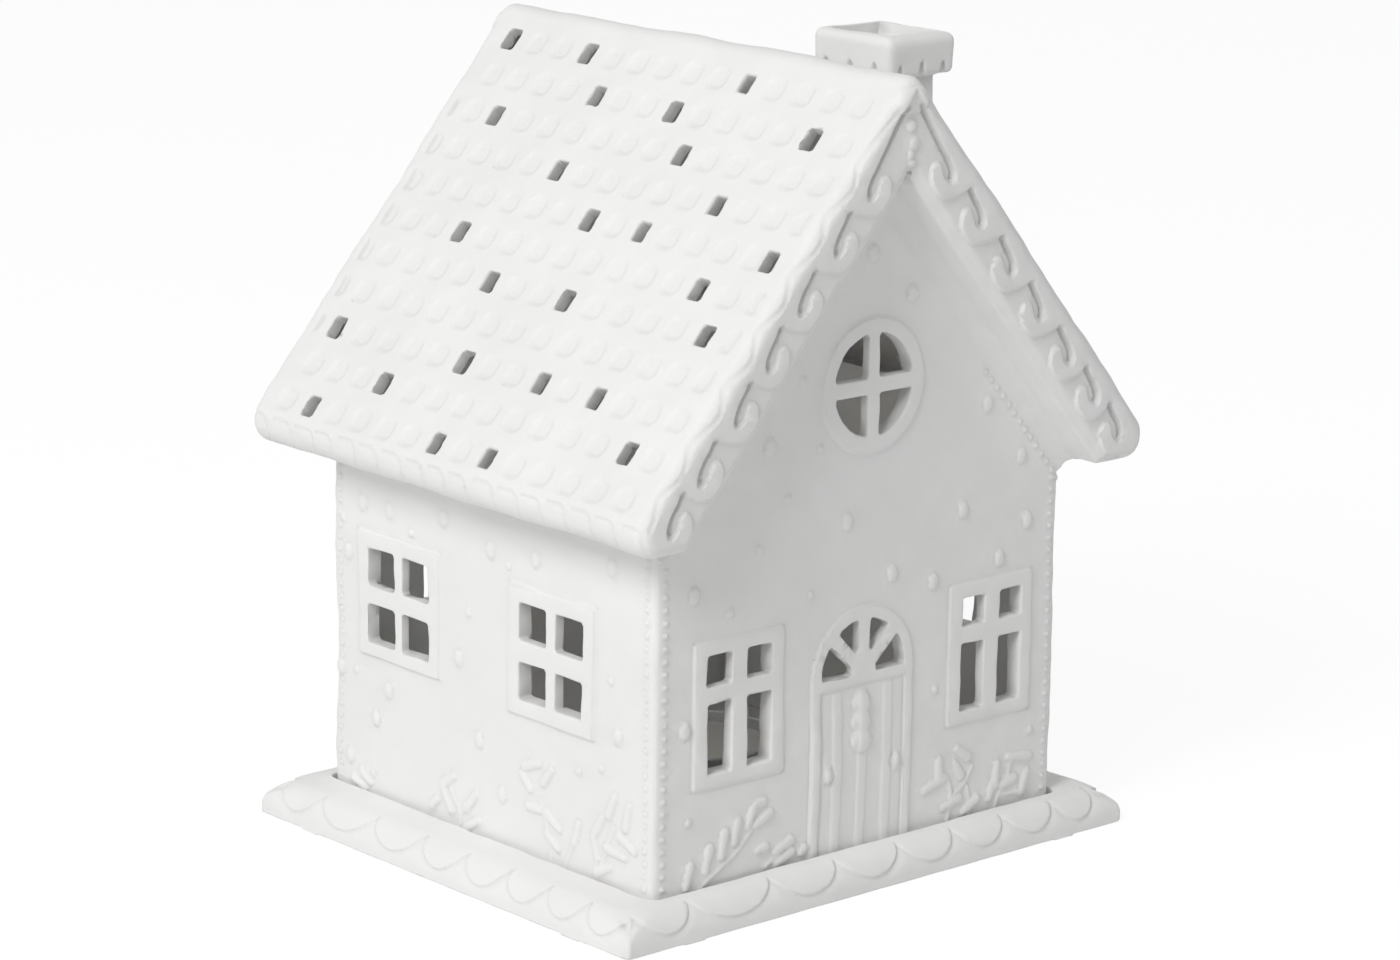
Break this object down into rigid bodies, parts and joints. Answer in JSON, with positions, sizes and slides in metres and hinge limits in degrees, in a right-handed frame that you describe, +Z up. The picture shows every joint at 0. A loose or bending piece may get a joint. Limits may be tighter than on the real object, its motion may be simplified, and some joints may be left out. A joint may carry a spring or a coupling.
{
  "type": "tealight house",
  "caption": "Hollow white porcelain house with cut windows and a pierced, dimpled roof, standing loose in its base plate over a tealight.",
  "frame": {"origin": "middle of the base plate's foot, on the surface that it stands on", "axes": "+Z up; the door gable faces -Y; the side wall seen in the picture faces -X; the ridge runs along Y"},
  "size_m": [0.1496, 0.1354, 0.1827],
  "materials": {
    "porcelain": "unglazed white porcelain, matt and smooth",
    "cup_metal": "thin drawn aluminium, satin",
    "wax": "white paraffin wax, slightly translucent",
    "wick_cotton": "braided waxed cotton, unburnt",
    "tab_tin": "thin tinned steel"
  },
  "bodies": {
    "base": {"base_plate": "porcelain"},
    "house": {"house_shell": "porcelain"},
    "tealight": {"tealight_cup": "cup_metal", "tealight_wax": "wax", "wick_tab": "tab_tin", "wick": "wick_cotton"}
  },
  "joints": [
    {"name": "house_lift", "type": "slide", "parent": "base", "child": "house", "axis": [0, 0, 1], "range_m": [0, 0.1]},
    {"name": "tealight_lift", "type": "slide", "parent": "base", "child": "tealight", "axis": [0, 0, 1], "range_m": [0, 0.06]}
  ]
}
